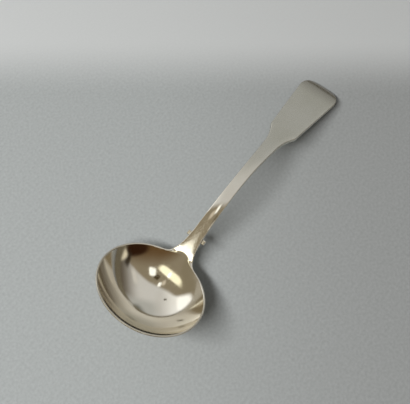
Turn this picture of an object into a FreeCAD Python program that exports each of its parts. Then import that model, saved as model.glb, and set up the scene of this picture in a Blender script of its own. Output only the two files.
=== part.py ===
import FreeCAD, Part
import math
import os
import Sketcher

# Gravy ladle of the fiddle pattern, one solid piece: a deep oval bowl, a narrow stem that rises
# out of the bowl's heel, two pips beside the stem and a flat, wide end whose tip turns down.
# It is drawn with the rim level, +X towards the handle and +Z out of the bowl. At the end it is
# turned about Y and lies as on a table, on the bowl's underside and on its tip, with the origin
# where the bowl touches the table.

doc = FreeCAD.newDocument("GravyLadle")

# Driving sizes in millimetres and degrees. Places along the handle count from the bowl's middle.
SIZES = [
    ("rim_length", 49.3, "outside of the rim, along the handle"),
    ("rim_width", 57.0, "outside of the rim, across the handle"),
    ("bowl_depth", 17.4, "inside, from the rim down to the bottom"),
    ("bowl_wall", 1.2, "silver at the rim and at the bottom"),
    ("oval_middle_height", 42.0, "middle of the bowl's oval form over the rim"),
    ("heel_length", 24.9, "from the bowl's middle to the inner edge of the rim at the heel"),
    ("heel_width", 41.0, "of the narrower oval by which the bowl reaches out to the heel"),
    ("heel_bowl_depth", 16.4, "of that oval, inside"),
    ("rise_start", 22.6, "place where the upper side leaves the level rim"),
    ("rise_radius", 4.0, "hollow curve from the rim up into the stem"),
    ("rise_angle", 44.5, "slope of the heel and the lower stem"),
    ("rise_length", 21.0, "straight part of the heel and the lower stem"),
    ("bend_radius", 82.0, "long bend of the stem"),
    ("end_angle", 13.1, "slope of the handle behind the bend"),
    ("tip_radius", 10.6, "curve by which the tip turns down"),
    ("tip_length", 6.6, "part of the handle's reach that turns down"),
    ("heel_start", 16.5, "place where the heel's underside leaves the bowl"),
    ("heel_drop", 6.5, "heel's underside there, below the rim"),
    ("heel_radius", 13.0, "hollow curve of the heel's underside"),
    ("stem_thickness", 3.1, "at the pips"),
    ("bend_thickness", 2.8, "in the bend"),
    ("end_thickness", 1.8, "at the tip"),
    ("handle_reach", 146.6, "place of the tip"),
    ("root_place", 36.0, "place where the stem starts to spread into the heel"),
    ("root_radius", 35.0, "spread of the heel in plan"),
    ("waist_place", 58.0, "narrowest place of the stem"),
    ("waist_width", 6.1, "stem at that place"),
    ("waist_radius", 480.0, "long hollow of the stem's sides"),
    ("sweep_place", 90.0, "place where the stem starts to widen to the shoulders"),
    ("sweep_radius", 26.0, "hollow below the shoulders"),
    ("sweep_angle", 27.0, "turn of that hollow"),
    ("shoulder_radius", 4.0, "rounding of the shoulders"),
    ("end_width", 23.3, "wide end, over its corners"),
    ("corner_radius", 9.0, "corners of the wide end"),
    ("crown_radius", 18.0, "rounding of the end itself"),
    ("pip_place", 33.4, "middle of the pips"),
    ("pip_length", 2.6, "along the stem"),
    ("pip_width", 11.0, "over both pips"),
    ("pip_drop", 0.8, "upper side of the pips below that of the stem"),
    ("pip_fillet", 0.6, "outer ends of the pips"),
    ("heel_fillet", 3.0, "hollow where the stem runs into the bowl"),
    ("under_fillet", 0.6, "lower edges of the handle"),
    ("edge_fillet", 0.5, "upper edges of the rim and the handle"),
]
sheet = doc.addObject("Spreadsheet::Sheet", "Sizes")
for row, (name, value, note) in enumerate(SIZES, start=1):
    sheet.set("A%d" % row, name)
    sheet.set("B%d" % row, str(value))
    sheet.set("C%d" % row, note)
    sheet.setAlias("B%d" % row, name)
doc.recompute()


def size(name):
    return float(sheet.get(name))


class Pen:
    """Draws lines and arcs one after the other. Its heading is in radians; left turns count
    as positive."""

    def __init__(self, x, y, heading=0.0):
        self.x = x
        self.y = y
        self.heading = heading
        self.pieces = []
        self.forward = []
        self.cells = []

    def keep(self, piece, x, y, forward, cell):
        self.pieces.append(piece)
        self.forward.append(forward)
        self.cells.append(cell)
        self.x = x
        self.y = y

    def to(self, x, y, cell=None):
        """Straight line to a point."""
        self.heading = math.atan2(y - self.y, x - self.x)
        line = Part.LineSegment(FreeCAD.Vector(self.x, self.y, 0), FreeCAD.Vector(x, y, 0))
        self.keep(line, x, y, True, cell)

    def line(self, length, cell=None):
        """Straight line along the heading."""
        x = self.x + length * math.cos(self.heading)
        y = self.y + length * math.sin(self.heading)
        self.to(x, y, cell)

    def turn(self, radius, angle, cell=None):
        """Arc that leaves the last piece without a corner."""
        side = math.copysign(1, angle)
        middle_x = self.x - side * radius * math.sin(self.heading)
        middle_y = self.y + side * radius * math.cos(self.heading)
        first = self.heading - side * math.pi / 2
        last = first + angle
        circle = Part.Circle(
            FreeCAD.Vector(middle_x, middle_y, 0), FreeCAD.Vector(0, 0, 1), radius)
        arc = Part.ArcOfCircle(circle, min(first, last), max(first, last))
        self.heading += angle
        self.keep(arc, middle_x + radius * math.cos(last), middle_y + radius * math.sin(last),
                  angle > 0, cell)


def origin_plane(role):
    return next(part for part in body.Origin.OriginFeatures if part.Role == role)


def draw(name, role, pen, offset=0.0):
    """New sketch with the pen's closed outline; pieces that name a cell keep to its size."""
    sketch = body.newObject("Sketcher::SketchObject", name)
    sketch.AttachmentSupport = [(origin_plane(role), "")]
    sketch.MapMode = "FlatFace"
    sketch.AttachmentOffset = FreeCAD.Placement(FreeCAD.Vector(0, 0, offset), FreeCAD.Rotation())
    add_outline(sketch, pen)
    return sketch


def add_outline(sketch, pen):
    first = sketch.GeometryCount
    sketch.addGeometry(pen.pieces, False)
    count = len(pen.pieces)
    for here in range(count):
        there = (here + 1) % count
        end = 2 if pen.forward[here] else 1
        start = 1 if pen.forward[there] else 2
        sketch.addConstraint(
            Sketcher.Constraint("Coincident", first + here, end, first + there, start))
    for number, (piece, cell) in enumerate(zip(pen.pieces, pen.cells)):
        if cell is None:
            continue
        round_piece = isinstance(piece, Part.ArcOfCircle)
        kind, value = ("Radius", piece.Radius) if round_piece else ("Distance", piece.length())
        place = sketch.addConstraint(Sketcher.Constraint(kind, first + number, value))
        sketch.setExpression("Constraints[%d]" % place, "Sizes." + cell)


def add_fillet(name, base, cell, wanted):
    """Fillet on those edges of the base whose middle point is wanted."""
    names = []
    for number, edge in enumerate(base.Shape.Edges, start=1):
        middle = edge.valueAt((edge.FirstParameter + edge.LastParameter) / 2)
        if wanted(middle):
            names.append("Edge%d" % number)
    feature = body.newObject("PartDesign::Fillet", name)
    feature.Base = (base, names)
    feature.setExpression("Radius", "Sizes." + cell)
    doc.recompute()
    return feature


def tangent_heading(first, first_radius, second, second_radius):
    """Heading of the line that touches one circle and then the next; the radius of a circle
    that is passed in a left turn counts as negative."""
    span = second - first
    lift = math.asin((second_radius - first_radius) / span.Length)
    return math.atan2(span.y, span.x) + lift


def touch(middle, radius, heading):
    """Point where a line with that heading touches the circle."""
    return middle.x - radius * math.sin(heading), middle.y + radius * math.cos(heading)


body = doc.addObject("PartDesign::Body", "ladle")
body.Label = "ladle"

# The bowl's two oval forms, outside and inside: their half-axes from the rim and the depth
oval_middle = size("oval_middle_height")
wall = size("bowl_wall")


def oval_axes(half_length, half_width, depth):
    height = oval_middle + depth
    share = math.sqrt(1 - (oval_middle / height) ** 2)
    return half_length / share, half_width / share, height


half_length = size("rim_length") / 2
half_width = size("rim_width") / 2
outside = oval_axes(half_length, half_width, size("bowl_depth") + wall)


def on_oval(point, axes):
    x, y, z = point.x / axes[0], point.y / axes[1], (point.z - oval_middle) / axes[2]
    return abs(x * x + y * y + z * z - 1) < 1e-4


def oval_reach(axes, height):
    """How far an oval form reaches along the handle at a height over the rim."""
    return axes[0] * math.sqrt(1 - ((height - oval_middle) / axes[2]) ** 2)


# Side view of the handle's upper side: hollow rise, straight, long bend, straight, turned tip
rise_angle = math.radians(size("rise_angle"))
end_angle = math.radians(size("end_angle"))
tip_turn = math.radians(60)


def draw_upper_side(pen):
    """From the level rim to past the tip."""
    pen.to(size("rise_start"), 0)
    pen.turn(size("rise_radius"), rise_angle, "rise_radius")
    pen.line(size("rise_length"), "rise_length")
    pen.turn(size("bend_radius"), end_angle - rise_angle, "bend_radius")
    straight_run = size("handle_reach") - size("tip_length") - pen.x
    pen.line(straight_run / math.cos(end_angle))
    pen.turn(size("tip_radius"), -tip_turn, "tip_radius")


def upper_height(x):
    """Height of the upper side over the rim, on the rise and the lower stem."""
    radius = size("rise_radius")
    run = x - size("rise_start")
    run_end = radius * math.sin(rise_angle)
    if run < run_end:
        return radius - math.sqrt(radius ** 2 - max(run, 0) ** 2)
    return radius * (1 - math.cos(rise_angle)) + (run - run_end) * math.tan(rise_angle)


upper = Pen(-half_length, 0)
draw_upper_side(upper)
bend_middle, tip_middle = [
    piece.Center for piece in upper.pieces if isinstance(piece, Part.ArcOfCircle)][1:]

# The underside has three arcs too, the heel's own one and two that keep the thickness, and
# straight parts that touch them
heel_under = size("heel_radius")
heel_middle = FreeCAD.Vector(size("heel_start"), heel_under - size("heel_drop"), 0)
bend_under = size("bend_radius") - size("bend_thickness")
tip_under = size("tip_radius") - size("end_thickness")
under_rise = tangent_heading(heel_middle, -heel_under, bend_middle, bend_under)
under_end = tangent_heading(bend_middle, bend_under, tip_middle, tip_under)
under_touches = [
    touch(heel_middle, -heel_under, under_rise),
    touch(bend_middle, bend_under, under_rise),
    touch(bend_middle, bend_under, under_end),
    touch(tip_middle, tip_under, under_end),
]


def on_underside(point):
    """Whether a point lies on the handle's underside, seen from the side."""
    rise_end, bend_start, bend_end, tip_start = under_touches
    if point.x < rise_end[0]:
        height = heel_middle.y - math.sqrt(heel_under ** 2 - (point.x - heel_middle.x) ** 2)
    elif point.x < bend_start[0]:
        height = rise_end[1] + (point.x - rise_end[0]) * math.tan(under_rise)
    elif point.x < bend_end[0]:
        height = bend_middle.y + math.sqrt(bend_under ** 2 - (point.x - bend_middle.x) ** 2)
    elif point.x < tip_start[0]:
        height = bend_end[1] + (point.x - bend_end[0]) * math.tan(under_end)
    else:
        height = tip_middle.y + math.sqrt(tip_under ** 2 - (point.x - tip_middle.x) ** 2)
    return abs(point.z - height) < 0.01


# Bowl and heel are first left standing over the rim by some stock, as high as the upper side
# is where the heel's fillet ends
stock = 0.0
for _ in range(40):
    shelf_end = oval_reach(outside, stock) + size("heel_fillet") + 0.5
    stock = upper_height(shelf_end) + 0.4
handle_top = bend_middle.y + size("bend_radius") + size("handle_reach") * math.tan(end_angle)

blank = Pen(size("heel_start"), -size("heel_drop"))
blank.turn(heel_under, under_rise)
blank.to(*under_touches[1])
blank.turn(bend_under, under_end - under_rise)
blank.to(*under_touches[3])
blank.turn(tip_under, end_angle - tip_turn - under_end)
blank.to(blank.x, handle_top)
blank.to(shelf_end, handle_top)
blank.to(shelf_end, stock)
blank.to(size("heel_start"), stock)
blank.to(size("heel_start"), -size("heel_drop"))
handle_blank = body.newObject("PartDesign::Pad", "HandleBlank")
handle_blank.Profile = draw("HandleSideView", "XZ_Plane", blank)
handle_blank.SideType = "Symmetric"
handle_blank.setExpression("Length", "Sizes.end_width + 4")
doc.recompute()

# Plan of the handle, from the root along one side to the tip and back along the other: spread
# root, long waist, hollow sweep, rounded shoulder, straight side, corner and crown
waist_radius = size("waist_radius")
root_radius = size("root_radius")
corner_radius = size("corner_radius")
crown_radius = size("crown_radius")
shoulder_radius = size("shoulder_radius")
sweep_turn = math.radians(size("sweep_angle"))
before_waist = math.asin((size("waist_place") - size("root_place")) / waist_radius)
after_waist = math.asin((size("sweep_place") - size("waist_place")) / waist_radius)
root_run = size("root_place") - size("heel_start")
root_heading = math.asin(root_run / root_radius + math.sin(before_waist))
root_half = (size("waist_width") / 2 + waist_radius * (1 - math.cos(before_waist))
             + root_radius * (math.cos(before_waist) - math.cos(root_heading)))
corner_off = size("end_width") / 2 - corner_radius
crown_half = math.asin(corner_off / (crown_radius - corner_radius))
corner_place = (size("handle_reach") - crown_radius
                + (crown_radius - corner_radius) * math.cos(crown_half))
corner_middle = FreeCAD.Vector(corner_place, corner_off, 0)

plan = Pen(size("heel_start"), root_half, -root_heading)
plan.turn(root_radius, root_heading - before_waist, "root_radius")
plan.turn(waist_radius, before_waist + after_waist, "waist_radius")
plan.turn(size("sweep_radius"), sweep_turn, "sweep_radius")
shoulder_middle = FreeCAD.Vector(
    plan.x + shoulder_radius * math.sin(plan.heading),
    plan.y - shoulder_radius * math.cos(plan.heading), 0)
side_heading = tangent_heading(shoulder_middle, shoulder_radius, corner_middle, corner_radius)
shoulder_turn = side_heading - plan.heading
corner_turn = crown_half - math.pi / 2 - side_heading
plan.turn(shoulder_radius, shoulder_turn, "shoulder_radius")
plan.to(*touch(corner_middle, corner_radius, side_heading))
side_length = plan.pieces[-1].length()
plan.turn(corner_radius, corner_turn, "corner_radius")
plan.turn(crown_radius, -2 * crown_half, "crown_radius")
plan.turn(corner_radius, corner_turn, "corner_radius")
plan.line(side_length)
plan.turn(shoulder_radius, shoulder_turn, "shoulder_radius")
plan.turn(size("sweep_radius"), sweep_turn, "sweep_radius")
plan.turn(waist_radius, before_waist + after_waist, "waist_radius")
plan.turn(root_radius, root_heading - before_waist, "root_radius")
plan.to(size("heel_start"), root_half)
plan_view = draw("HandlePlan", "XY_Plane", plan)
border = Pen(0, -size("end_width"))
border.to(size("handle_reach") * 1.2, -size("end_width"))
border.to(size("handle_reach") * 1.2, size("end_width"))
border.to(0, size("end_width"))
border.to(0, -size("end_width"))
add_outline(plan_view, border)
handle = body.newObject("PartDesign::Pocket", "HandleOutline")
handle.Profile = plan_view
handle.SideType = "Symmetric"
handle.Type = "ThroughAll"
doc.recompute()


def on_lower_side_edge(point):
    return on_underside(point) and abs(point.y) > 0.01


handle_under = add_fillet("UnderEdges", handle, "under_fillet", on_lower_side_edge)


def add_oval(kind, name, sweep, turned, depth, length, width):
    """An oval form of the bowl, bound to cells of the sheet: whole with its seam away from the
    handle, or the half towards the handle."""
    form = body.newObject("PartDesign::" + kind, name)
    form.AttachmentSupport = [(origin_plane("XY_Plane"), "")]
    form.MapMode = "FlatFace"
    form.AttachmentOffset = FreeCAD.Placement(
        FreeCAD.Vector(0, 0, oval_middle), FreeCAD.Rotation(FreeCAD.Vector(0, 0, 1), turned))
    form.setExpression("AttachmentOffset.Base.z", "Sizes.oval_middle_height")
    form.Angle3 = sweep
    height = "(Sizes.oval_middle_height + %s)" % depth
    share = "sqrt(1 - (Sizes.oval_middle_height / %s) ^ 2)" % height
    along, across = ("Radius2", "Radius3") if sweep == 360 else ("Radius3", "Radius2")
    form.setExpression("Radius1", height)
    form.setExpression(along, "(%s) / %s" % (length, share))
    form.setExpression(across, "(%s) / %s" % (width, share))
    return form


bowl = add_oval("AdditiveEllipsoid", "BowlForm", 360, 180, "Sizes.bowl_depth + Sizes.bowl_wall",
                "Sizes.rim_length / 2", "Sizes.rim_width / 2")
bowl.Angle2 = math.degrees(math.asin((stock - oval_middle) / outside[2]))
doc.recompute()

def on_heel_crease(point):
    return point.x > 0 and point.z < stock - 0.01 and on_oval(point, outside)


heel = add_fillet("HeelFillet", bowl, "heel_fillet", on_heel_crease)

# All that stands over the upper side is cut away
cut = Pen(-half_length - 5, 0)
draw_upper_side(cut)
cut.to(cut.x + 20, cut.y)
cut.to(cut.x, handle_top + 5)
cut.to(-half_length - 5, handle_top + 5)
cut.to(-half_length - 5, 0)
upper_cut = body.newObject("PartDesign::Pocket", "UpperSideCut")
upper_cut.Profile = draw("UpperSideView", "XZ_Plane", cut)
upper_cut.SideType = "Symmetric"
upper_cut.Type = "ThroughAll"
doc.recompute()

hollow = add_oval("SubtractiveEllipsoid", "BowlHollow", 360, 180, "Sizes.bowl_depth",
                  "Sizes.rim_length / 2 - Sizes.bowl_wall", "Sizes.rim_width / 2 - Sizes.bowl_wall")
doc.recompute()
heel_hollow = add_oval("SubtractiveEllipsoid", "HeelHollow", 180, -90, "Sizes.heel_bowl_depth",
                       "Sizes.heel_length", "Sizes.heel_width / 2")
doc.recompute()

# The pips lie square to the lower stem, a little below its upper side
pip_place = size("pip_place")
pip_height = size("stem_thickness") - size("pip_drop")
pip_view = Pen(
    pip_place - size("pip_length") / 2 * math.cos(rise_angle)
    + size("pip_drop") * math.sin(rise_angle),
    upper_height(pip_place) - size("pip_length") / 2 * math.sin(rise_angle)
    - size("pip_drop") * math.cos(rise_angle),
    rise_angle)
pip_view.line(size("pip_length"), "pip_length")
for side in (pip_height, size("pip_length"), pip_height):
    pip_view.heading -= math.pi / 2
    pip_view.line(side)
pips = body.newObject("PartDesign::Pad", "Pips")
pips.Profile = draw("PipSideView", "XZ_Plane", pip_view)
pips.SideType = "Symmetric"
pips.setExpression("Length", "Sizes.pip_width")
doc.recompute()


def on_pip_end(point):
    return abs(abs(point.y) - size("pip_width") / 2) < 1e-4 and point.x < size("root_place")


pip_ends = add_fillet("PipEnds", pips, "pip_fillet", on_pip_end)


def on_rim_edge(point):
    """Front of the rim's outer edge; the fillet runs on from it along both sides of the
    handle and round the tip."""
    return point.x < 0 and abs(point.z) < 1e-3 and on_oval(point, outside)


upper_edges = add_fillet("UpperEdges", pip_ends, "edge_fillet", on_rim_edge)
body.Tip = upper_edges




def silver(feature):
    """Volume out of a fine mesh, which is truer than the volume the shape itself states."""
    points, corners = feature.Shape.tessellate(0.1)
    return sum(points[a].dot(points[b].cross(points[c])) for a, b, c in corners) / 6


# Each cut has to take silver away and each addition has to bring some
steps = [(handle_blank, handle, -1), (handle_under, bowl, 1), (heel, upper_cut, -1), (upper_cut, hollow, -1), (hollow, heel_hollow, -1),
         (heel_hollow, pips, 1), (pips, upper_edges, -1)]
for before, after, sign in steps:
    if (silver(after) - silver(before)) * sign <= 0:
        raise RuntimeError("%s does nothing" % after.Name)

# Pose on the table: turned until the lowest points of the bowl and of the tip are level
section = []
for wire in upper_edges.Shape.slice(FreeCAD.Vector(0, 1, 0), 0):
    section += wire.discretize(Distance=0.02)
bowl_section = [point for point in section if point.x < half_length]
tip_section = [point for point in section if point.x > size("handle_reach") / 2]


def turned_height(point, tilt):
    return point.z * math.cos(tilt) - point.x * math.sin(tilt)


def lowest(points, tilt):
    return min(points, key=lambda point: turned_height(point, tilt))


least, most = 0.0, math.radians(80)
for _ in range(40):
    tilt = (least + most) / 2
    bowl_low = turned_height(lowest(bowl_section, tilt), tilt)
    tip_low = turned_height(lowest(tip_section, tilt), tilt)
    if tip_low > bowl_low:
        least = tilt
    else:
        most = tilt
contact = lowest(bowl_section, tilt)
turned_back = contact.x * math.cos(tilt) + contact.z * math.sin(tilt)
body.Placement = FreeCAD.Placement(
    FreeCAD.Vector(-turned_back, 0, -turned_height(contact, tilt)),
    FreeCAD.Rotation(FreeCAD.Vector(0, 1, 0), math.degrees(tilt)))
doc.recompute()

for part in doc.Objects:
    if "Invalid" in part.State or "Error" in part.State:
        raise RuntimeError("%s failed: %s" % (part.Name, part.State))
shape = body.Shape
if shape.isNull() or not shape.isValid() or len(shape.Solids) != 1:
    raise RuntimeError("the ladle is not one valid solid")
os.makedirs("parts", exist_ok=True)
shape.exportStep("parts/%s.step" % body.Label)
print("tilt %.2f degrees, bowl contact %.2f mm behind the rim's middle, tip %.1f mm away"
      % (math.degrees(tilt), contact.x, shape.BoundBox.XMax))
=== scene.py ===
import math

import bpy
import numpy as np
from mathutils import Matrix, Vector


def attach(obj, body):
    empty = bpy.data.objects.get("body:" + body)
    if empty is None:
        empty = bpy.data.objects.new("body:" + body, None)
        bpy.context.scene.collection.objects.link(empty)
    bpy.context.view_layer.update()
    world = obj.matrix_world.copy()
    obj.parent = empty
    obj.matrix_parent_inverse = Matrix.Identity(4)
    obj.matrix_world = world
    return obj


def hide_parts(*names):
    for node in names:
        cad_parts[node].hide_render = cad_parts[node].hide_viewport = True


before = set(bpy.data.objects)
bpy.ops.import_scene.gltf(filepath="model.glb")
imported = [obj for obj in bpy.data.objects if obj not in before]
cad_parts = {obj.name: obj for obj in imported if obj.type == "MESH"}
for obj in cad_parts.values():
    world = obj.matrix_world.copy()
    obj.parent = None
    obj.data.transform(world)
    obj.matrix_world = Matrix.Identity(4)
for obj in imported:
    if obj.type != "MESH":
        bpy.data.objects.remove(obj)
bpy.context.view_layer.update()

scene = bpy.context.scene
scene.view_settings.view_transform = "Standard"


# Sizes of the ladle in millimetres and degrees. It is drawn with the rim level, +X towards the
# handle and +Z out of the bowl; places along the handle count from the bowl's middle.

# Bowl, and the narrower oval by which it reaches out to the heel
RIM_HALF_LENGTH = 24.65
RIM_HALF_WIDTH = 28.5
BOWL_DEPTH = 17.4
BOWL_WALL = 1.2
OVAL_MIDDLE = 42.0
HEEL_LENGTH = 24.9
HEEL_HALF_WIDTH = 20.5
HEEL_BOWL_DEPTH = 16.4

# Side view of the handle
LEVEL_START = -40.0
RISE_START = 22.6
RISE_RADIUS = 4.0
RISE_ANGLE = math.radians(44.5)
RISE_LENGTH = 21.0
BEND_RADIUS = 82.0
END_ANGLE = math.radians(13.1)
TIP_RADIUS = 10.6
TIP_LENGTH = 6.6
TIP_TURN = math.radians(60)
HEEL_START = 16.5
HEEL_DROP = 6.5
HEEL_RADIUS = 13.0
ROOT_LENGTH = 8.0
STEM_THICKNESS = 3.1
BEND_THICKNESS = 2.8
END_THICKNESS = 1.8
HANDLE_REACH = 146.6

# Plan of the handle
ROOT_PLACE = 36.0
ROOT_RADIUS = 35.0
WAIST_PLACE = 58.0
WAIST_HALF_WIDTH = 3.05
WAIST_RADIUS = 480.0
SWEEP_PLACE = 90.0
SWEEP_RADIUS = 26.0
SWEEP_TURN = math.radians(27)
SHOULDER_RADIUS = 4.0
END_HALF_WIDTH = 11.65
CORNER_RADIUS = 9.0
CROWN_RADIUS = 18.0

# Pips beside the lower stem
PIP_PLACE = 33.4
PIP_LENGTH = 2.6
PIP_HALF_WIDTH = 5.5
PIP_DROP = 0.8

# Rounded edges and hollow fillets
EDGE = 0.5
LOWER_EDGE = 0.6
TIP_LOWER_EDGE = 0.92
RIM_EDGE = 0.8
INNER_EDGE = 0.3
INNER_BLEND = 1.0
HEEL_FILLET = 3.0
PIP_FILLET = 0.2

# Crown: how far the handle's upper side falls at its edges, at places along it
CROWN_REACH = 3.2
CROWN_PLACES = (28.0, 38.0, 50.0, 66.0, 95.0, 110.0)
CROWN_FALLS = (0.0, 0.3, 0.35, 0.3, 0.25, 0.2)

# Pose on the table, and how finely the skin is made
LIE_TILT = math.radians(25.56)
MESH_STEP = 0.42
MESH_MARGIN = 2.0
HANDLE_HEADROOM = 15.0
PROBE = 0.01
SETTLING_ROUNDS = 4
SLICE = 32


class Course:
    """Lines and arcs joined without corners, which tell how far a point lies to their left."""

    def __init__(self, x, y, heading):
        self.x = x
        self.y = y
        self.heading = heading
        self.pieces = []

    def middle(self, radius):
        """Middle of an arc that starts here; the radius of a left turn counts as positive."""
        return self.x - radius * math.sin(self.heading), self.y + radius * math.cos(self.heading)

    def line(self, length=0.0):
        self.pieces.append((self.x, self.y, self.heading, 0.0))
        self.x += length * math.cos(self.heading)
        self.y += length * math.sin(self.heading)

    def turn(self, radius, angle):
        """Left turns count as positive."""
        bent = math.copysign(radius, angle)
        self.pieces.append((self.x, self.y, self.heading, bent))
        middle_x, middle_y = self.middle(bent)
        self.heading += angle
        self.x = middle_x + bent * math.sin(self.heading)
        self.y = middle_y - bent * math.cos(self.heading)

    def left(self, x, y):
        """Distance to the left of the last piece whose start the point has passed."""
        result = None
        passed = True
        for start_x, start_y, heading, bent in self.pieces:
            along_x = math.cos(heading)
            along_y = math.sin(heading)
            if bent:
                off = np.hypot(x - start_x + bent * along_y, y - start_y - bent * along_x)
                here = bent - math.copysign(1, bent) * off
            else:
                here = (y - start_y) * along_x - (x - start_x) * along_y
            if result is None:
                result = here
                continue
            passed = passed & ((x - start_x) * along_x + (y - start_y) * along_y > 0)
            result = np.where(passed, here, result)
        return result


def touching_heading(first, first_bent, second, second_bent):
    """Heading of the line that touches two arcs; the radius of a left turn counts as positive."""
    span_x = second[0] - first[0]
    span_y = second[1] - first[1]
    lift = math.asin((first_bent - second_bent) / math.hypot(span_x, span_y))
    return math.atan2(span_y, span_x) + lift


def line_to(course, heading, middle, bent):
    """Line that ends where it touches the next arc."""
    course.heading = heading
    end_x = middle[0] + bent * math.sin(heading)
    end_y = middle[1] - bent * math.cos(heading)
    course.line(math.hypot(end_x - course.x, end_y - course.y))


def side_view():
    """Upper side, from the level rim to past the tip, and the underside."""
    upper = Course(LEVEL_START, 0.0, 0.0)
    upper.line(RISE_START - LEVEL_START)
    upper.turn(RISE_RADIUS, RISE_ANGLE)
    upper.line(RISE_LENGTH)
    bend = upper.middle(-BEND_RADIUS)
    upper.turn(BEND_RADIUS, END_ANGLE - RISE_ANGLE)
    upper.line((HANDLE_REACH - TIP_LENGTH - upper.x) / math.cos(END_ANGLE))
    tip = upper.middle(-TIP_RADIUS)
    upper.turn(TIP_RADIUS, -TIP_TURN)
    upper.line()

    under = Course(HEEL_START - ROOT_LENGTH, -HEEL_DROP, 0.0)
    under.line(ROOT_LENGTH)
    heel = under.middle(HEEL_RADIUS)
    bend_bent = BEND_THICKNESS - BEND_RADIUS
    tip_bent = END_THICKNESS - TIP_RADIUS
    rise = touching_heading(heel, HEEL_RADIUS, bend, bend_bent)
    end = touching_heading(bend, bend_bent, tip, tip_bent)
    under.turn(HEEL_RADIUS, rise)
    line_to(under, rise, bend, bend_bent)
    under.turn(-bend_bent, end - rise)
    line_to(under, end, tip, tip_bent)
    under.turn(-tip_bent, END_ANGLE - TIP_TURN - end)
    under.line()
    return upper, under


def half_plan():
    """One side of the handle seen from above, from the root to the end's middle."""
    before = math.asin((WAIST_PLACE - ROOT_PLACE) / WAIST_RADIUS)
    after = math.asin((SWEEP_PLACE - WAIST_PLACE) / WAIST_RADIUS)
    root = math.asin((ROOT_PLACE - HEEL_START) / ROOT_RADIUS + math.sin(before))
    root_half = (WAIST_HALF_WIDTH + WAIST_RADIUS * (1 - math.cos(before))
                 + ROOT_RADIUS * (math.cos(before) - math.cos(root)))
    corner_off = END_HALF_WIDTH - CORNER_RADIUS
    crown_half = math.asin(corner_off / (CROWN_RADIUS - CORNER_RADIUS))
    corner_place = (HANDLE_REACH - CROWN_RADIUS
                    + (CROWN_RADIUS - CORNER_RADIUS) * math.cos(crown_half))
    corner = (corner_place, corner_off)

    plan = Course(HEEL_START, root_half, -root)
    plan.turn(ROOT_RADIUS, root - before)
    plan.turn(WAIST_RADIUS, before + after)
    plan.turn(SWEEP_RADIUS, SWEEP_TURN)
    shoulder = plan.middle(-SHOULDER_RADIUS)
    side = touching_heading(shoulder, -SHOULDER_RADIUS, corner, -CORNER_RADIUS)
    plan.turn(SHOULDER_RADIUS, side - plan.heading)
    line_to(plan, side, corner, -CORNER_RADIUS)
    plan.turn(CORNER_RADIUS, crown_half - math.pi / 2 - side)
    plan.turn(CROWN_RADIUS, -crown_half)
    return plan


def oval_axes(half_length, half_width, depth):
    height = OVAL_MIDDLE + depth
    share = math.sqrt(1 - (OVAL_MIDDLE / height) ** 2)
    return half_length / share, half_width / share, height


def oval(x, y, z, axes):
    """Distance out of an oval form."""
    z = z - OVAL_MIDDLE
    scaled = np.sqrt((x / axes[0]) ** 2 + (y / axes[1]) ** 2 + (z / axes[2]) ** 2)
    slope = np.sqrt((x / axes[0] ** 2) ** 2 + (y / axes[1] ** 2) ** 2 + (z / axes[2] ** 2) ** 2)
    return scaled * (scaled - 1) / slope


def meet(first, second, radius):
    """What lies in both forms, with its edge rounded."""
    corner = np.hypot(np.maximum(first + radius, 0), np.maximum(second + radius, 0))
    return np.minimum(np.maximum(first, second), -radius) + corner


def join(first, second, radius):
    """Both forms together, with a hollow fillet between them."""
    return -meet(-first, -second, radius)


def blend(first, second, width):
    """Both forms together, where they lie nearly along each other."""
    share = np.maximum(width - np.abs(first - second), 0) / width
    return np.minimum(first, second) - share ** 2 * width / 4


UPPER, UNDER = side_view()
PLAN = half_plan()
OUTSIDE = oval_axes(RIM_HALF_LENGTH, RIM_HALF_WIDTH, BOWL_DEPTH + BOWL_WALL)
INSIDE = oval_axes(RIM_HALF_LENGTH - BOWL_WALL, RIM_HALF_WIDTH - BOWL_WALL, BOWL_DEPTH)
HEEL_INSIDE = oval_axes(HEEL_LENGTH, HEEL_HALF_WIDTH, HEEL_BOWL_DEPTH)
PIP_RUN = PIP_PLACE - RISE_START - RISE_RADIUS * math.sin(RISE_ANGLE)
PIP_HEIGHT = RISE_RADIUS * (1 - math.cos(RISE_ANGLE)) + PIP_RUN * math.tan(RISE_ANGLE)


def pips(x, y, z):
    """Block across the lower stem, rounded all over."""
    ahead = x - PIP_PLACE
    above = z - PIP_HEIGHT
    along = ahead * math.cos(RISE_ANGLE) + above * math.sin(RISE_ANGLE)
    down = ahead * math.sin(RISE_ANGLE) - above * math.cos(RISE_ANGLE)
    half_height = (STEM_THICKNESS - PIP_DROP) / 2
    ends = meet(np.abs(y) - PIP_HALF_WIDTH, np.abs(along) - PIP_LENGTH / 2, EDGE)
    return meet(ends, np.abs(down - PIP_DROP - half_height) - half_height, EDGE)


def crown(x, plan):
    """How far the handle's upper side falls towards its edges."""
    fall = np.interp(x, CROWN_PLACES, CROWN_FALLS)
    return fall * np.maximum(1 + np.minimum(plan, 0) / CROWN_REACH, 0) ** 2


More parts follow.
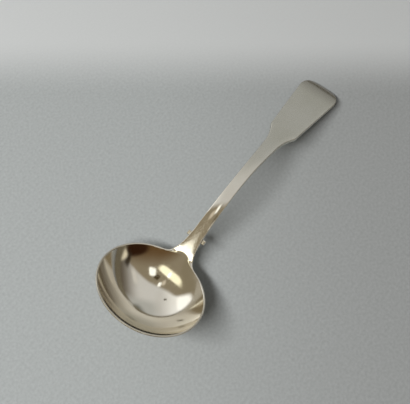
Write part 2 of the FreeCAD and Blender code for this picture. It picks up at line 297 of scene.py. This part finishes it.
def ladle_distance(x, y, z):
    """Distance out of the ladle, negative in the silver."""
    plan = PLAN.left(x, np.abs(y))
    top = UPPER.left(x, z) + crown(x, plan)
    tip_places = (HANDLE_REACH - TIP_LENGTH, HANDLE_REACH)
    lower_edge = np.interp(x, tip_places, (LOWER_EDGE, TIP_LOWER_EDGE))
    handle = meet(plan, -UNDER.left(x, z), lower_edge)
    handle = np.maximum(handle, HEEL_START - ROOT_LENGTH - x)
    outside = join(oval(x, y, z, OUTSIDE), handle, HEEL_FILLET)
    upper_edge = np.interp(x, (HEEL_START, ROOT_PLACE), (RIM_EDGE, EDGE))
    body = meet(outside, top, upper_edge)
    heel_inside = np.maximum(oval(x, y, z, HEEL_INSIDE), -x)
    inside = blend(oval(x, y, z, INSIDE), heel_inside, INNER_BLEND)
    return meet(join(body, pips(x, y, z), PIP_FILLET), -inside, INNER_EDGE)


def steepest(points):
    """Distance at each point and the direction in which it grows."""
    x, y, z = points.T
    slope = np.stack([
        ladle_distance(x + PROBE, y, z) - ladle_distance(x - PROBE, y, z),
        ladle_distance(x, y + PROBE, z) - ladle_distance(x, y - PROBE, z),
        ladle_distance(x, y, z + PROBE) - ladle_distance(x, y, z - PROBE)], 1) / (2 * PROBE)
    return ladle_distance(x, y, z), slope


def skin():
    """Corners, outward directions and quads of the surface where the distance is nought."""
    step = MESH_STEP
    xs = np.arange(-RIM_HALF_LENGTH - MESH_MARGIN, HANDLE_REACH + MESH_MARGIN, step)
    ys = np.arange(-RIM_HALF_WIDTH - MESH_MARGIN, RIM_HALF_WIDTH + MESH_MARGIN, step)
    zs = np.arange(-BOWL_DEPTH - BOWL_WALL - MESH_MARGIN, UPPER.y + HANDLE_HEADROOM, step)
    grid = np.empty((len(xs), len(ys), len(zs)), np.float32)
    for first in range(0, len(xs), SLICE):
        part = slice(first, first + SLICE)
        grid[part] = ladle_distance(xs[part, None, None], ys[None, :, None], zs[None, None, :])

    # The surface passes through the cells of which some corners are filled, but not all eight
    filled = grid < 0
    count = sum(filled[a:len(xs) - 1 + a, b:len(ys) - 1 + b, c:len(zs) - 1 + c].astype(np.int8)
                for a in (0, 1) for b in (0, 1) for c in (0, 1))
    cells = np.argwhere((count > 0) & (count < 8))
    number = np.full(count.shape, -1, np.int32)
    number[tuple(cells.T)] = np.arange(len(cells))

    # Each corner starts at the mean of the places where the cell's edges cross the surface
    total = np.zeros((len(cells), 3))
    crossings = np.zeros(len(cells))
    for axis in range(3):
        others = [other for other in range(3) if other != axis]
        for first in (0, 1):
            for second in (0, 1):
                start = cells.copy()
                start[:, others[0]] += first
                start[:, others[1]] += second
                end = start.copy()
                end[:, axis] += 1
                low = grid[tuple(start.T)].astype(float)
                high = grid[tuple(end.T)].astype(float)
                crosses = (low < 0) != (high < 0)
                place = start.astype(float)
                place[:, axis] += np.where(crosses, low / np.where(crosses, low - high, 1), 0)
                total[crosses] += place[crosses]
                crossings += crosses
    corners = total / crossings[:, None] * step + np.array([xs[0], ys[0], zs[0]])

    # It then settles on the surface
    for _ in range(SETTLING_ROUNDS):
        distance, slope = steepest(corners)
        shift = -distance[:, None] * slope / np.maximum((slope ** 2).sum(1), 0.1)[:, None]
        corners += np.clip(shift, -step / 2, step / 2)
    slope = steepest(corners)[1]
    outward = slope / np.linalg.norm(slope, axis=1)[:, None]

    # A quad stands across each edge of the grid that crosses the surface
    quads = []
    for axis in range(3):
        u, v = (axis + 1) % 3, (axis + 2) % 3
        here = [slice(None)] * 3
        there = [slice(None)] * 3
        here[axis] = slice(0, -1)
        there[axis] = slice(1, None)
        low = filled[tuple(here)]
        high = filled[tuple(there)]
        for leaves in (True, False):
            edges = np.argwhere((low != high) & (low == leaves))
            ring = []
            for step_u, step_v in ((-1, -1), (0, -1), (0, 0), (-1, 0)):
                cell = edges.copy()
                cell[:, u] += step_u
                cell[:, v] += step_v
                ring.append(number[tuple(cell.T)])
            ring = np.stack(ring, 1)
            quads.append(ring if leaves else ring[:, ::-1])
    return corners, outward, np.concatenate(quads)


def lie_down(points, directions):
    """Turns the level ladle as it lies on the table, in metres."""
    sine = math.sin(LIE_TILT)
    cosine = math.cos(LIE_TILT)
    lowest = math.hypot(OUTSIDE[0] * sine, OUTSIDE[2] * cosine)
    touch_x = OUTSIDE[0] ** 2 * sine / lowest
    touch_z = OVAL_MIDDLE - OUTSIDE[2] ** 2 * cosine / lowest
    turn = np.array([[cosine, 0, sine], [0, 1, 0], [-sine, 0, cosine]])
    touch = turn @ np.array([touch_x, 0, touch_z])
    return (points @ turn.T - touch) / 1000, directions @ turn.T


# Camera of the photograph, in metres
camera_data = bpy.data.cameras.new("camera")
camera_data.lens = 50.83
camera_data.sensor_width = 36.0
camera_data.clip_start = 0.01
camera_data.clip_end = 20.0
camera = bpy.data.objects.new("camera", camera_data)
camera.location = (-0.03260, -0.05733, 0.29170)
looks_at = Vector((0.05471, 0.01099, 0.0))
camera.rotation_mode = "QUATERNION"
camera.rotation_quaternion = (looks_at - camera.location).to_track_quat("-Z", "Y")
scene.collection.objects.link(camera)
scene.camera = camera


class Nodes:
    """Adds and joins the nodes of one material or world."""

    def __init__(self, owner):
        owner.use_nodes = True
        self.tree = owner.node_tree
        self.tree.nodes.clear()

    def add(self, kind, **values):
        node = self.tree.nodes.new(kind)
        for name, value in values.items():
            setattr(node, name, value)
        return node

    def set(self, socket, value):
        if isinstance(value, bpy.types.NodeSocket):
            self.tree.links.new(value, socket)
        else:
            socket.default_value = value

    def math(self, operation, first, second=0.0):
        node = self.add("ShaderNodeMath", operation=operation)
        self.set(node.inputs[0], first)
        self.set(node.inputs[1], second)
        return node.outputs[0]

    def dot(self, vector, axis):
        node = self.add("ShaderNodeVectorMath", operation="DOT_PRODUCT")
        self.set(node.inputs[0], vector)
        self.set(node.inputs[1], axis)
        return node.outputs["Value"]

    def split(self, vector):
        node = self.add("ShaderNodeSeparateXYZ")
        self.set(node.inputs["Vector"], vector)
        return node.outputs

    def range(self, value, low, high, to_low=0.0, to_high=1.0, kind="SMOOTHSTEP"):
        node = self.add("ShaderNodeMapRange", clamp=True, interpolation_type=kind)
        self.set(node.inputs["Value"], value)
        self.set(node.inputs["From Min"], low)
        self.set(node.inputs["From Max"], high)
        self.set(node.inputs["To Min"], to_low)
        self.set(node.inputs["To Max"], to_high)
        return node.outputs["Result"]

    def mix(self, factor, first, second, kind="RGBA"):
        node = self.add("ShaderNodeMix", data_type=kind)
        self.set(node.inputs["Factor"], factor)
        self.set(node.inputs["A"], first)
        self.set(node.inputs["B"], second)
        return node.outputs["Result"]

    def noise(self, place, scale, detail, roughness=0.5):
        node = self.add("ShaderNodeTexNoise")
        self.set(node.inputs["Vector"], place)
        self.set(node.inputs["Scale"], scale)
        self.set(node.inputs["Detail"], detail)
        self.set(node.inputs["Roughness"], roughness)
        return node.outputs["Fac"]

    def stretch(self, place, factors):
        node = self.add("ShaderNodeMapping")
        self.set(node.inputs["Vector"], place)
        self.set(node.inputs["Scale"], factors)
        return node.outputs["Vector"]

    def finish(self, kind, surface):
        node = self.add(kind)
        self.set(node.inputs["Surface"], surface)


# Silver: polished in the bowl and the heel, duller and brushed along the handle, darker with
# painted shade at the tip, and darker high on the bowl's wall. Places are in metres, as the ladle
# lies.
BRIGHT_SILVER = ((0.92, 0.89, 0.81, 1), (0.87, 0.83, 0.74, 1))
DULL_SILVER = ((0.74, 0.73, 0.67, 1), (0.68, 0.67, 0.60, 1))
TIP_PAINTED_SHADE = (0.40, 0.38, 0.34, 1)
WALL_SILVER = (0.74, 0.70, 0.61, 1)
WORN_ALONG = (0.045, 0.100)
BRUSHED_ALONG = (0.05, 0.09)
TIP_PAINTED_SHADE_ALONG = (0.1395, 0.1520)
WALL_ALONG = (0.008, 0.018)
WALL_HEIGHT = (0.006, 0.012)
POLISHED_ROUGHNESS = (0.06, 0.12)
BRUSHED_ROUGHNESS = (0.20, 0.34)
TARNISH_SCALE = 60.0
WEAR_SCALE = 900.0
GRAIN_SCALE = 2600.0
GRAIN_STRETCH = (0.05, 1.0, 1.0)
GRAIN_RELIEF = 0.00002


def silver_material():
    material = bpy.data.materials.new("silver")
    nodes = Nodes(material)
    place = nodes.add("ShaderNodeTexCoord").outputs["Object"]
    parts = nodes.split(place)
    along = parts["X"]
    worn = nodes.range(along, *WORN_ALONG)
    warm = nodes.range(nodes.noise(place, TARNISH_SCALE, 3.0), 0.3, 0.7)
    bright = nodes.mix(warm, *BRIGHT_SILVER)
    dull = nodes.mix(warm, *DULL_SILVER)
    silver = nodes.mix(worn, bright, dull)
    # Painted shade: the turned-down tip is darkened in colour, standing in for the shaded floor it
    # mirrors
    silver = nodes.mix(nodes.range(along, *TIP_PAINTED_SHADE_ALONG), silver, TIP_PAINTED_SHADE)
    high = nodes.range(parts["Z"], *WALL_HEIGHT)
    in_bowl = nodes.range(along, *WALL_ALONG, 1.0, 0.0)
    silver = nodes.mix(nodes.math("MULTIPLY", high, in_bowl), silver, WALL_SILVER)

    grain = nodes.noise(nodes.stretch(place, GRAIN_STRETCH), GRAIN_SCALE, 2.0, 0.6)
    wear = nodes.noise(place, WEAR_SCALE, 4.0, 0.6)
    polished = nodes.range(wear, 0.3, 0.75, *POLISHED_ROUGHNESS)
    brushed = nodes.range(grain, 0.3, 0.7, *BRUSHED_ROUGHNESS)
    bump = nodes.add("ShaderNodeBump")
    bump.inputs["Distance"].default_value = GRAIN_RELIEF
    nodes.set(bump.inputs["Strength"], nodes.range(along, *BRUSHED_ALONG, 0.0, 0.25))
    nodes.set(bump.inputs["Height"], grain)

    shader = nodes.add("ShaderNodeBsdfPrincipled")
    shader.inputs["Metallic"].default_value = 1.0
    nodes.set(shader.inputs["Base Color"], silver)
    nodes.set(shader.inputs["Roughness"], nodes.mix(worn, polished, brushed, "FLOAT"))
    nodes.set(shader.inputs["Normal"], bump.outputs["Normal"])
    nodes.finish("ShaderNodeOutputMaterial", shader.outputs["BSDF"])
    return material


def ladle_piece():
    """The ladle's fine skin, in place of the plain solid."""
    corners, outward, quads = skin()
    points, directions = lie_down(corners, outward)
    mesh = bpy.data.meshes.new("ladle_skin")
    mesh.from_pydata(points.tolist(), [], quads.tolist())
    mesh.shade_smooth()
    mesh.normals_split_custom_set_from_vertices(directions.tolist())
    mesh.materials.append(silver_material())
    piece = bpy.data.objects.new("ladle_skin", mesh)
    scene.collection.objects.link(piece)
    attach(piece, "root")
    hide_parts("ladle")


ladle_piece()


# Directions in the room are given as on a chart of the sky, in degrees from straight overhead:
# first towards the right edge of the photograph, then towards its upper edge
PHOTO_TURN = math.radians(-52)
RIGHTWARD = Vector((math.cos(PHOTO_TURN), math.sin(PHOTO_TURN), 0))
UPWARD = Vector((-math.sin(PHOTO_TURN), math.cos(PHOTO_TURN), 0))


def sky_direction(right, up):
    off = math.radians(math.hypot(right, up))
    flat = (RIGHTWARD * right + UPWARD * up).normalized()
    return flat * math.sin(off) + Vector((0, 0, math.cos(off)))


# Pale floor with a fine weave, with painted shade that deepens its tone towards the photograph's
# right edge, and paler beyond a soft border near its upper edge
PALE_WEAVE = ((0.42, 0.450, 0.460, 1), (0.62, 0.658, 0.670, 1))
PAINTED_SHADE_WEAVE = ((0.35, 0.367, 0.374, 1), (0.52, 0.543, 0.553, 1))
BEYOND_TONE = (0.84, 0.87, 0.89, 1)
PAINTED_SHADE_FROM_TO = (-0.02, 0.13)
BEYOND_FROM_TO = (0.115, 0.155)
BEYOND_SHARE = 0.8
WEAVE_SCALE = 700.0
FLOOR_REACH = 3.0


def floor_material():
    material = bpy.data.materials.new("floor")
    nodes = Nodes(material)
    place = nodes.add("ShaderNodeTexCoord").outputs["Object"]
    weave = nodes.noise(place, WEAVE_SCALE, 3.0)
    pale = nodes.mix(weave, *PALE_WEAVE)
    painted_shade = nodes.mix(weave, *PAINTED_SHADE_WEAVE)
    right = nodes.dot(place, RIGHTWARD)
    up = nodes.dot(place, UPWARD)
    # Painted shade: the floor's colour deepens towards the right, standing in for light falling
    # off away from the left
    tone = nodes.mix(nodes.range(right, *PAINTED_SHADE_FROM_TO), pale, painted_shade)
    beyond = nodes.range(up, *BEYOND_FROM_TO, 0.0, BEYOND_SHARE)
    tone = nodes.mix(beyond, tone, BEYOND_TONE)

    shader = nodes.add("ShaderNodeBsdfPrincipled")
    shader.inputs["Roughness"].default_value = 0.9
    shader.inputs["Specular IOR Level"].default_value = 0.2
    nodes.set(shader.inputs["Base Color"], tone)
    nodes.finish("ShaderNodeOutputMaterial", shader.outputs["BSDF"])
    return material


floor_ring = ((-1, -1), (1, -1), (1, 1), (-1, 1))
floor_corners = [(x * FLOOR_REACH, y * FLOOR_REACH, 0) for x, y in floor_ring]
floor_mesh = bpy.data.meshes.new("floor")
floor_mesh.from_pydata(floor_corners, [], [(0, 1, 2, 3)])
floor_mesh.materials.append(floor_material())
floor = bpy.data.objects.new("floor", floor_mesh)
scene.collection.objects.link(floor)


# Side light, an area lamp that faces the ladle and whose long side runs towards another place on
# the chart. The silver doesn't mirror it: it mirrors the room's bright patches in its place.
LAMP_DISTANCE = 1.2
LAMP_DIRECTION = sky_direction(-31, -14)
LAMP_RUNS_TOWARDS = sky_direction(-8, -33)
back = LAMP_DIRECTION.normalized()
along = (LAMP_RUNS_TOWARDS - LAMP_DIRECTION) * LAMP_DISTANCE
along = (along - back * along.dot(back)).normalized()
lamp_data = bpy.data.lights.new("side light", "AREA")
lamp_data.shape = "RECTANGLE"
lamp_data.size = 0.95
lamp_data.size_y = 0.20
lamp_data.energy = 11.0
lamp_data.color = (1.0, 0.99, 0.97)
lamp = bpy.data.objects.new("side light", lamp_data)
lamp.location = LAMP_DIRECTION * LAMP_DISTANCE
lamp.rotation_mode = "QUATERNION"
lamp.rotation_quaternion = Matrix((along, back.cross(along), back)).transposed().to_quaternion()
lamp.visible_glossy = False
scene.collection.objects.link(lamp)


# The room round the ladle: grey above a slanting border on the chart, taupe below it, and one
# colour from near the horizon down. Each pair of degrees is where a change starts and ends.
GREY_LEFT = (0.92, 0.92, 0.90, 1)
GREY_MIDDLE = (0.58, 0.57, 0.55, 1)
GREY_RIGHT = (0.12, 0.10, 0.075, 1)
LEFT_TO_MIDDLE = (-50, -10)
MIDDLE_TO_RIGHT = (28, 78)
TAUPE_HIGH = (0.26, 0.22, 0.155, 1)
TAUPE_LOW = (0.12, 0.07, 0.03, 1)
HIGH_TO_LOW = (-30, -58)
BORDER_SLANT = 0.57
BORDER_FROM_TO = (-9, 0)
HORIZON_COLOR = (0.16, 0.14, 0.10, 1)
HORIZON_FROM_TO = (77, 82)

# Share of the room's strength that lights dull surfaces; what is seen or mirrored has all of it
ROOM_LIGHT = 0.35

# Soft patches in the room, given one by one and each over those before: colour, place on the
# chart, half size in degrees, turn and softness
ROOM_PATCHES = [
    # Greys far up and taupe far to the left
    ((0.42, 0.42, 0.40), (30, 60), (34, 24), 0, 0.5),
    ((0.15, 0.15, 0.13), (52, 80), (26, 18), 30, 0.4),
    ((0.24, 0.205, 0.14), (-68, -6), (18, 25), 0, 0.15),
    # Window
    ((1.2, 1.2, 1.18), (-56.5, 41), (11.5, 19), 0, 0.3),
    # Cream strip with a brighter spot in it
    ((1.25, 1.18, 0.88), (-29, -15), (32, 4.7), -40.5, 0.12),
    ((2.0, 2.0, 1.9), (-27, -15), (3.6, 3.0), -40.5, 0.3),
    # Beside the strip: a soft taupe spot, a dark one and a bright one
    ((0.60, 0.53, 0.42), (-18.5, -5), (4, 4), 0, 0.5),
    ((0.07, 0.05, 0.025), (-3, -19), (5, 4), -40.5, 0.4),
    ((1.2, 1.2, 1.12), (-10, -4), (3.5, 4), -20, 0.3),
    # Dark speck
    ((0.10, 0.09, 0.07), (-24, 27), (2.8, 2.0), 20, 0.5),
    # Bright spot below the middle
    ((1.3, 1.3, 1.2), (3.5, -28.5), (3.8, 6.5), 0, 0.25),
    # Down to the right: two dark parts, a pale one and a soft grey one
    ((0.03, 0.012, 0.005), (33, -56), (26, 8), 15, 0.3),
    ((0.04, 0.03, 0.02), (55, -38), (5, 12), -30, 0.5),
    ((0.95, 0.88, 0.70), (71, -42), (15, 9), 35, 0.3),
    ((0.62, 0.60, 0.56), (42, -14), (5, 12), 10, 0.6),
]


def add_patch(nodes, chart, below, color, place, half_size, turn, soft):
    """Soft, rounded patch of colour over what lies below it."""
    local = nodes.add("ShaderNodeMapping", vector_type="TEXTURE")
    nodes.set(local.inputs["Vector"], chart)
    nodes.set(local.inputs["Location"], (*place, 0))
    nodes.set(local.inputs["Rotation"], (0, 0, math.radians(turn)))
    nodes.set(local.inputs["Scale"], (*half_size, 1))
    parts = nodes.split(local.outputs["Vector"])
    x_fourth = nodes.math("POWER", nodes.math("ABSOLUTE", parts["X"]), 4.0)
    y_fourth = nodes.math("POWER", nodes.math("ABSOLUTE", parts["Y"]), 4.0)
    off = nodes.math("POWER", nodes.math("ADD", x_fourth, y_fourth), 0.25)
    return nodes.mix(nodes.range(off, 1 - soft, 1 + soft, 1.0, 0.0), below, (*color, 1))


def studio_world():
    world = bpy.data.worlds.new("studio")
    nodes = Nodes(world)
    direction = nodes.add("ShaderNodeTexCoord").outputs["Generated"]
    high = nodes.dot(direction, Vector((0, 0, 1)))
    flat_square = nodes.math("SUBTRACT", 1.0, nodes.math("POWER", high, 2.0))
    flat = nodes.math("SQRT", nodes.math("MAXIMUM", flat_square, 1e-6))
    off = nodes.math("DIVIDE", nodes.math("ARCCOSINE", high), flat)
    degrees = nodes.math("MULTIPLY", off, 180 / math.pi)
    right = nodes.math("MULTIPLY", degrees, nodes.dot(direction, RIGHTWARD))
    up = nodes.math("MULTIPLY", degrees, nodes.dot(direction, UPWARD))
    chart = nodes.add("ShaderNodeCombineXYZ")
    nodes.set(chart.inputs["X"], right)
    nodes.set(chart.inputs["Y"], up)

    grey = nodes.mix(nodes.range(right, *LEFT_TO_MIDDLE), GREY_LEFT, GREY_MIDDLE)
    grey = nodes.mix(nodes.range(right, *MIDDLE_TO_RIGHT), grey, GREY_RIGHT)
    taupe = nodes.mix(nodes.range(up, *HIGH_TO_LOW), TAUPE_HIGH, TAUPE_LOW)
    border = nodes.math("ADD", up, nodes.math("MULTIPLY", right, BORDER_SLANT))
    color = nodes.mix(nodes.range(border, *BORDER_FROM_TO), taupe, grey)
    for patch in ROOM_PATCHES:
        color = add_patch(nodes, chart.outputs["Vector"], color, *patch)
    color = nodes.mix(nodes.range(degrees, *HORIZON_FROM_TO), color, HORIZON_COLOR)

    background = nodes.add("ShaderNodeBackground")
    nodes.set(background.inputs["Color"], color)
    ray = nodes.add("ShaderNodeLightPath").outputs
    shown = nodes.math("MAXIMUM", ray["Is Camera Ray"], ray["Is Glossy Ray"])
    shown = nodes.math("MAXIMUM", shown, ray["Is Transmission Ray"])
    strength = nodes.range(shown, 0.0, 1.0, ROOM_LIGHT, 1.0, "LINEAR")
    nodes.set(background.inputs["Strength"], strength)
    nodes.finish("ShaderNodeOutputWorld", background.outputs["Background"])
    return world


scene.world = studio_world()
